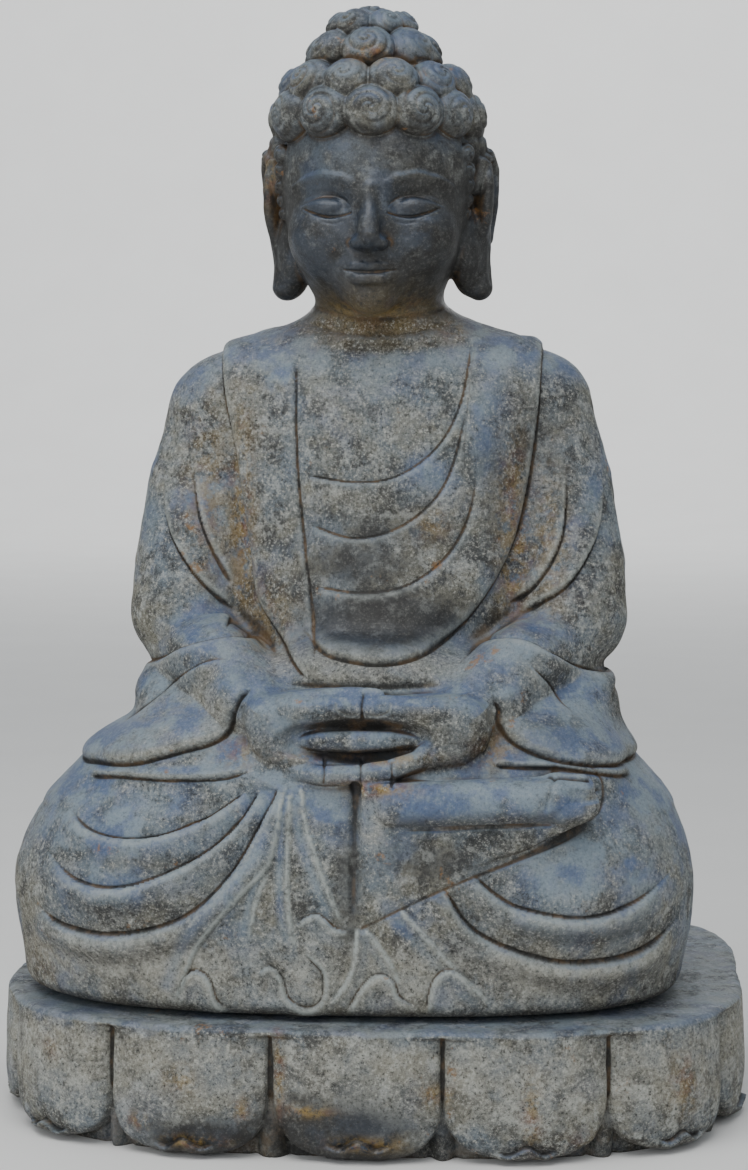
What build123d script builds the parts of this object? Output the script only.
"""Seated stone figure on a lotus base: two carved stones, set dry on slate shims and located by steel dowels.

Millimetres. +Z is up and the figure faces -Y, so +X is the figure's own left hand.
The origin is the centre of the lotus base's underside. Both stones are about symmetric across X = 0,
apart from the figure's knees and its uncovered foot.
"""

import math
import os

from build123d import *

# Driving dimensions of the lotus base
BASE_WIDTH = 676.0
BASE_DEPTH = 510.0
BASE_HEIGHT = 115.0
FRONT_POWER = 3.0
REAR_POWER = 5.0
PETAL_COUNT = 14
PETAL_WIDTH = 148.0
PETAL_HEIGHT = 106.0
PETAL_CORNER_RADIUS = 52.0
PETAL_BULGE_RADIUS = 150.0
PETAL_REACH = 44.0
CORE_INSET = 24.0
RIM_INSET = 7.0
RIM_THICKNESS = 22.0
RIM_ROUND = 5.0

# Driving dimensions of the seated figure
OVERALL_HEIGHT = 1000.0
BED_GAP = 3.0
FIGURE_FOOT = BASE_HEIGHT + BED_GAP
LAP_HEIGHT = 316.0
FIGURE_FORWARD = 45.0
LEGS_CENTRE = (-14.5, -4.0)
TORSO_CENTRE = (2.0, 50.0)
ROBE_THICKNESS = 5.0
CROWN = ((1.0, 34.0, 872.0), (97.0, 102.0, 82.0))
TOPKNOT = ((1.0, 40.0, 942.0), (50.0, 52.0, 44.0))
CURL_SINK = 14.0
TOP_CURL_RADIUS = 20.0
# Each row of curls: the form it lies on, its latitude in degrees, how many would go all the way round,
# their radius, and whether the row is cut short so that it only runs behind the ears
CURL_ROWS = [
    (CROWN, -28.0, 12, 21.0, True),
    (CROWN, 0.0, 13, 22.0, True),
    (CROWN, 27.0, 12, 22.0, False),
    (CROWN, 52.0, 8, 20.0, False),
    (TOPKNOT, 8.0, 7, 18.0, False),
]
BEHIND_EARS = 0.25
EAR_THICKNESS = 20.0
EAR_SPREAD = 94.0
EAR_MIDDLE = 800.0
EAR_LEAN = 5.0

# Driving dimensions of the bed joint: two dowels in resin, and four slate shims
DOWEL_RADIUS = 10.0
DOWEL_CHAMFER = 2.0
DOWEL_SPACING = 220.0
DOWEL_Y = -25.0
DOWEL_EMBEDMENT = 75.0
DOWEL_STAND = 60.0
RESIN_THICKNESS = 3.0
RESIN_FLOOR = 5.0
FIGURE_SOCKET_RADIUS = 12.0
FIGURE_SOCKET_DEPTH = 66.0
SHIM_REACH_X = 215.0
SHIM_FRONT_Y = -145.0
SHIM_REAR_Y = 60.0

SECTION_POINTS = 32
PLAN_POINTS = 64


def superellipse_point(angle, half_x, half_y, power):
    """A point of the outline |x/half_x|^power + |y/half_y|^power = 1."""
    c, s = math.cos(angle), math.sin(angle)
    return (
        half_x * math.copysign(abs(c) ** (2 / power), c),
        half_y * math.copysign(abs(s) ** (2 / power), s),
    )


def superellipse(half_x, half_y, power, height=0.0, centre=(0.0, 0.0)):
    """A level face at one height, bounded by one smooth closed curve."""
    points = []
    for i in range(SECTION_POINTS):
        x, y = superellipse_point(2 * math.pi * (i + 0.5) / SECTION_POINTS, half_x, half_y, power)
        points.append((centre[0] + x, centre[1] + y, height))
    return Face(Wire([Edge.make_spline([Vector(*p) for p in points], periodic=True)]))


def lofted(sections, power):
    """A solid through level sections, each given as (height, centre x, centre y, half x, half y)."""
    faces = [superellipse(hx, hy, power, z, (cx, cy)) for z, cx, cy, hx, hy in sections]
    return loft(faces)


def ellipsoid(centre, radii, tilt=(0.0, 0.0, 0.0)):
    """A solid ellipsoid, tilted about its own centre by rotations in degrees."""
    return Pos(*centre) * Rot(*tilt) * scale(Sphere(1.0), by=radii)


def upright_cylinder(x, y, bottom, top, radius):
    """A round bar or hole standing between two heights."""
    return Pos(x, y, (bottom + top) / 2) * Cylinder(radius, top - bottom)


def both_sides(shape_for_side):
    """The shapes that a function makes for the figure's right (-1) and left (+1) sides."""
    return [shape_for_side(-1), shape_for_side(1)]


# ---- lotus base -------------------------------------------------------------------------------


def plan_point(angle, half_x, half_y):
    """A point of the base's plan, whose rear corners are squarer than its front ones."""
    return superellipse_point(angle, half_x, half_y, FRONT_POWER if math.sin(angle) < 0 else REAR_POWER)


def plan_face(inset, height=0.0):
    half_x, half_y = BASE_WIDTH / 2 - inset, BASE_DEPTH / 2 - inset
    points = [plan_point(2 * math.pi * (i + 0.5) / PLAN_POINTS, half_x, half_y) for i in range(PLAN_POINTS)]
    return Pos(0, 0, height) * make_face(Spline(*points, periodic=True))


def plan_stations(count):
    """Points spaced evenly round the plan from the middle of the front, with outward normals in degrees."""
    steps = 3600
    path = [
        plan_point(-math.pi / 2 + 2 * math.pi * i / steps, BASE_WIDTH / 2, BASE_DEPTH / 2)
        for i in range(steps + 1)
    ]
    lengths = [0.0]
    for (x0, y0), (x1, y1) in zip(path, path[1:]):
        lengths.append(lengths[-1] + math.hypot(x1 - x0, y1 - y0))
    stations = []
    for k in range(count):
        wanted = lengths[-1] * k / count
        i = next(n for n, length in enumerate(lengths) if length >= wanted)
        (xa, ya), (xb, yb) = path[i - 1 if i else -2], path[i + 1]
        stations.append((path[i], math.degrees(math.atan2(-(xb - xa), yb - ya))))
    return stations


def petal():
    """One hanging petal, straight-sided with a broad round tip, bulging towards -Y from a root at y = 0."""
    half = PETAL_WIDTH / 2
    outline = make_face(
        Polyline((-half, 0), (half, 0), (half, -PETAL_HEIGHT), (-half, -PETAL_HEIGHT), (-half, 0))
    )
    outline = fillet(outline.vertices().group_by(Axis.Y)[0], PETAL_CORNER_RADIUS)
    plate = Rot(90, 0, 0) * extrude(outline, PETAL_REACH)
    bulge = upright_cylinder(0, PETAL_BULGE_RADIUS - PETAL_REACH, -PETAL_HEIGHT, 0, PETAL_BULGE_RADIUS)
    return plate & bulge


def lotus_base():
    """The base stone: a core, a dressed rim and a ring of petals that hang from the rim."""
    core = extrude(plan_face(CORE_INSET), BASE_HEIGHT)
    rim = extrude(plan_face(RIM_INSET, BASE_HEIGHT - RIM_THICKNESS), RIM_THICKNESS)
    rim = fillet(rim.edges().group_by(Axis.Z)[-1], RIM_ROUND)
    stone = core + rim
    one_petal = petal()
    petal_top = BASE_HEIGHT - RIM_ROUND
    for (x, y), normal in plan_stations(PETAL_COUNT):
        inward = math.radians(normal + 180)
        root = (x + PETAL_REACH * math.cos(inward), y + PETAL_REACH * math.sin(inward), petal_top)
        stone += Pos(*root) * Rot(0, 0, normal + 90) * one_petal
    for x in (-DOWEL_SPACING / 2, DOWEL_SPACING / 2):
        floor = BASE_HEIGHT - DOWEL_EMBEDMENT - RESIN_FLOOR
        stone -= upright_cylinder(x, DOWEL_Y, floor, BASE_HEIGHT, DOWEL_RADIUS + RESIN_THICKNESS)
    return stone


# ---- seated figure ----------------------------------------------------------------------------


def legs():
    """The crossed legs under the robe, one broad mass with rounded knees."""
    cx, cy = LEGS_CENTRE
    profile = [
        (FIGURE_FOOT, 286, 164),
        (135, 297, 169),
        (165, 304, 173),
        (205, 306, 174),
        (240, 300, 171),
        (275, 284, 163),
        (300, 262, 150),
        (LAP_HEIGHT, 226, 128),
    ]
    return lofted([(z, cx, cy, hx, hy) for z, hx, hy in profile], 2.9)


def foot_panel():
    """The uncovered foot, turned up across the lap, and the robe's hem hanging below it."""
    hem = make_face(Polyline((-12, 306), (-12, 203), (176, 280), (160, 306), (-12, 306)))
    foot = ellipsoid((86, -138, 297), (106, 33, 20), (0, 2, 0))
    return Pos(0, -112, 0) * Rot(90, 0, 0) * extrude(hem, 56) + foot


def torso_sections(extra):
    """Level sections of the chest and back, grown by extra on every side."""
    cx, cy = TORSO_CENTRE
    profile = [
        (235, 142, 110),
        (290, 146, 112),
        (350, 149, 112),
        (420, 148, 108),
        (490, 152, 102),
        (560, 158, 98),
        (620, 160, 90),
        (655, 152, 78),
        (680, 128, 66),
        (697, 96, 58),
        (706, 70, 52),
    ]
    return [(z, cx, cy, hx + extra, hy + extra) for z, hx, hy in profile]


def arm(side):
    """An upper arm in its sleeve, widest just above the elbow."""
    sections = [
        (386, 165, 26, 40, 50),
        (400, 170, 25, 50, 62),
        (440, 172, 28, 55, 70),
        (520, 163, 38, 54, 68),
        (600, 150, 46, 55, 62),
        (650, 138, 48, 48, 52),
        (676, 122, 49, 34, 40),
    ]
    return lofted([(z, TORSO_CENTRE[0] + side * x, y, hx, hy) for z, x, y, hx, hy in sections], 2.2)


def forearm(side):
    """A forearm in its sleeve, from the elbow down and forward to the wrist."""
    return ellipsoid((side * 150, -52, 372), (62, 112, 44), (12, 0, side * -32))


def sleeve_drape(side):
    """The loose end of a sleeve, spread over the thigh."""
    return ellipsoid((side * 182, -66, 330), (88, 84, 34), (6, side * 20, 0))


def hands():
    """Both hands, one laid in the other, with the thumbs meeting above an eye-shaped hollow."""
    palms = ellipsoid((0, -112, 350), (110, 54, 37))
    hollow = ellipsoid((0, -170, 352), (60, 34, 17))
    fingers = ellipsoid((0, -132, 346), (64, 26, 11))
    return palms - hollow + fingers


def robe_front(body):
    """The two hanging edges of the robe, raised from the chest."""
    layer = lofted(torso_sections(ROBE_THICKNESS), 2.4)
    right_band = make_face(Polyline((-118, 680), (-62, 690), (-48, 400), (-92, 400), (-118, 680)))
    left_lapel = make_face(
        [
            Line((70, 695), (128, 680)),
            Spline((128, 680), (120, 560), (85, 460), (0, 412)),
            Line((0, 412), (20, 470)),
            Spline((20, 470), (62, 560), (70, 695)),
        ]
    )
    for outline in (right_band, left_lapel):
        body += layer & (Rot(90, 0, 0) * extrude(outline, 120))
    return body


def ear(side):
    """A long ear with a heavy lobe, leaning in towards the neck."""
    outline = make_face(
        Spline(
            (40, 864), (66, 846), (62, 800), (56, 748), (42, 730), (28, 748), (26, 800), (26, 845),
            periodic=True,
        )
    )
    slab = Pos(-EAR_THICKNESS / 2, 0, 0) * extrude(Plane.YZ * outline, EAR_THICKNESS)
    about_middle = Pos(side * EAR_SPREAD, 0, EAR_MIDDLE) * Rot(0, side * EAR_LEAN, 0) * Pos(0, 0, -EAR_MIDDLE)
    return about_middle * slab


def hair_curls():
    """Rows of snail curls over the crown and the topknot, each sunk into the hair below it."""
    curls = []
    for (centre, radii), latitude, count, radius, cut_short in CURL_ROWS:
        level = math.radians(latitude)
        for i in range(count):
            around = 2 * math.pi * i / count - math.pi / 2
            if cut_short and math.sin(around) < BEHIND_EARS:
                continue
            x = (radii[0] - CURL_SINK) * math.cos(level) * math.cos(around)
            y = (radii[1] - CURL_SINK) * math.cos(level) * math.sin(around)
            z = (radii[2] - CURL_SINK) * math.sin(level)
            curls.append(Pos(*centre) * Pos(x, y, z) * Sphere(radius))
    curls.append(Pos(*TOPKNOT[0][:2], OVERALL_HEIGHT - TOP_CURL_RADIUS) * Sphere(TOP_CURL_RADIUS))
    return curls


def head():
    """Neck, face, ears, hair and topknot."""
    stone = lofted([(680, 4, 46, 72, 62), (705, 4, 44, 66, 58), (770, 3, 38, 64, 60)], 2.0)
    stone += ellipsoid((1, 30, 812), (86, 92, 104), (-6, 0, 0))
    stone += ellipsoid(*CROWN)
    stone += ellipsoid(*TOPKNOT)
    for shape in both_sides(ear) + hair_curls():
        stone += shape
    return stone


def seated_figure():
    """The figure stone: one carved block, set forward on its base over two blind dowel sockets."""
    body = legs() + lofted(torso_sections(0), 2.4)
    body = robe_front(body)
    body += foot_panel()
    for make in (arm, forearm, sleeve_drape):
        for shape in both_sides(make):
            body += shape
    body += hands()
    body += head()
    body = Pos(0, -FIGURE_FORWARD, 0) * body
    for x in (-DOWEL_SPACING / 2, DOWEL_SPACING / 2):
        body -= upright_cylinder(
            x, DOWEL_Y, FIGURE_FOOT, FIGURE_FOOT + FIGURE_SOCKET_DEPTH, FIGURE_SOCKET_RADIUS
        )
    return body


# ---- bed joint --------------------------------------------------------------------------------


def dowel(x):
    """A plain stainless bar, chamfered at both ends."""
    bar = upright_cylinder(x, DOWEL_Y, BASE_HEIGHT - DOWEL_EMBEDMENT, BASE_HEIGHT + DOWEL_STAND, DOWEL_RADIUS)
    return chamfer(bar.edges().filter_by(GeomType.CIRCLE), DOWEL_CHAMFER)


def dowel_resin(x):
    """The cup of set resin between a dowel and its socket in the base."""
    floor = BASE_HEIGHT - DOWEL_EMBEDMENT - RESIN_FLOOR
    cup = upright_cylinder(x, DOWEL_Y, floor, BASE_HEIGHT, DOWEL_RADIUS + RESIN_THICKNESS)
    return cup - dowel(x)


def shim(x, y, turn, length, width):
    """A split slate chip of uneven outline, as thick as the bed joint."""
    outline = make_face(
        Polyline(
            (-length / 2, -width * 0.40),
            (length * 0.38, -width / 2),
            (length / 2, width * 0.30),
            (-length * 0.30, width / 2),
            (-length / 2, -width * 0.40),
        )
    )
    return Pos(x, y, BASE_HEIGHT) * Rot(0, 0, turn) * extrude(outline, BED_GAP)


def write(node, shape):
    """Writes one node's solids as a STEP file."""
    export_step(shape, f"parts/{node}.step")


def main():
    os.makedirs("parts", exist_ok=True)
    write("lotus_base", lotus_base())
    write("seated_figure", seated_figure())
    for name, side in (("right", -1), ("left", 1)):
        x = side * DOWEL_SPACING / 2
        write(f"dowel_{name}", dowel(x))
        write(f"dowel_resin_{name}", dowel_resin(x))
    write("shim_front_right", shim(-SHIM_REACH_X, SHIM_FRONT_Y, 12, 46, 30))
    write("shim_front_left", shim(SHIM_REACH_X - 30, SHIM_FRONT_Y, -20, 40, 34))
    write("shim_rear_right", shim(-SHIM_REACH_X, SHIM_REAR_Y, -8, 42, 32))
    write("shim_rear_left", shim(SHIM_REACH_X - 20, SHIM_REAR_Y, 25, 50, 28))


main()
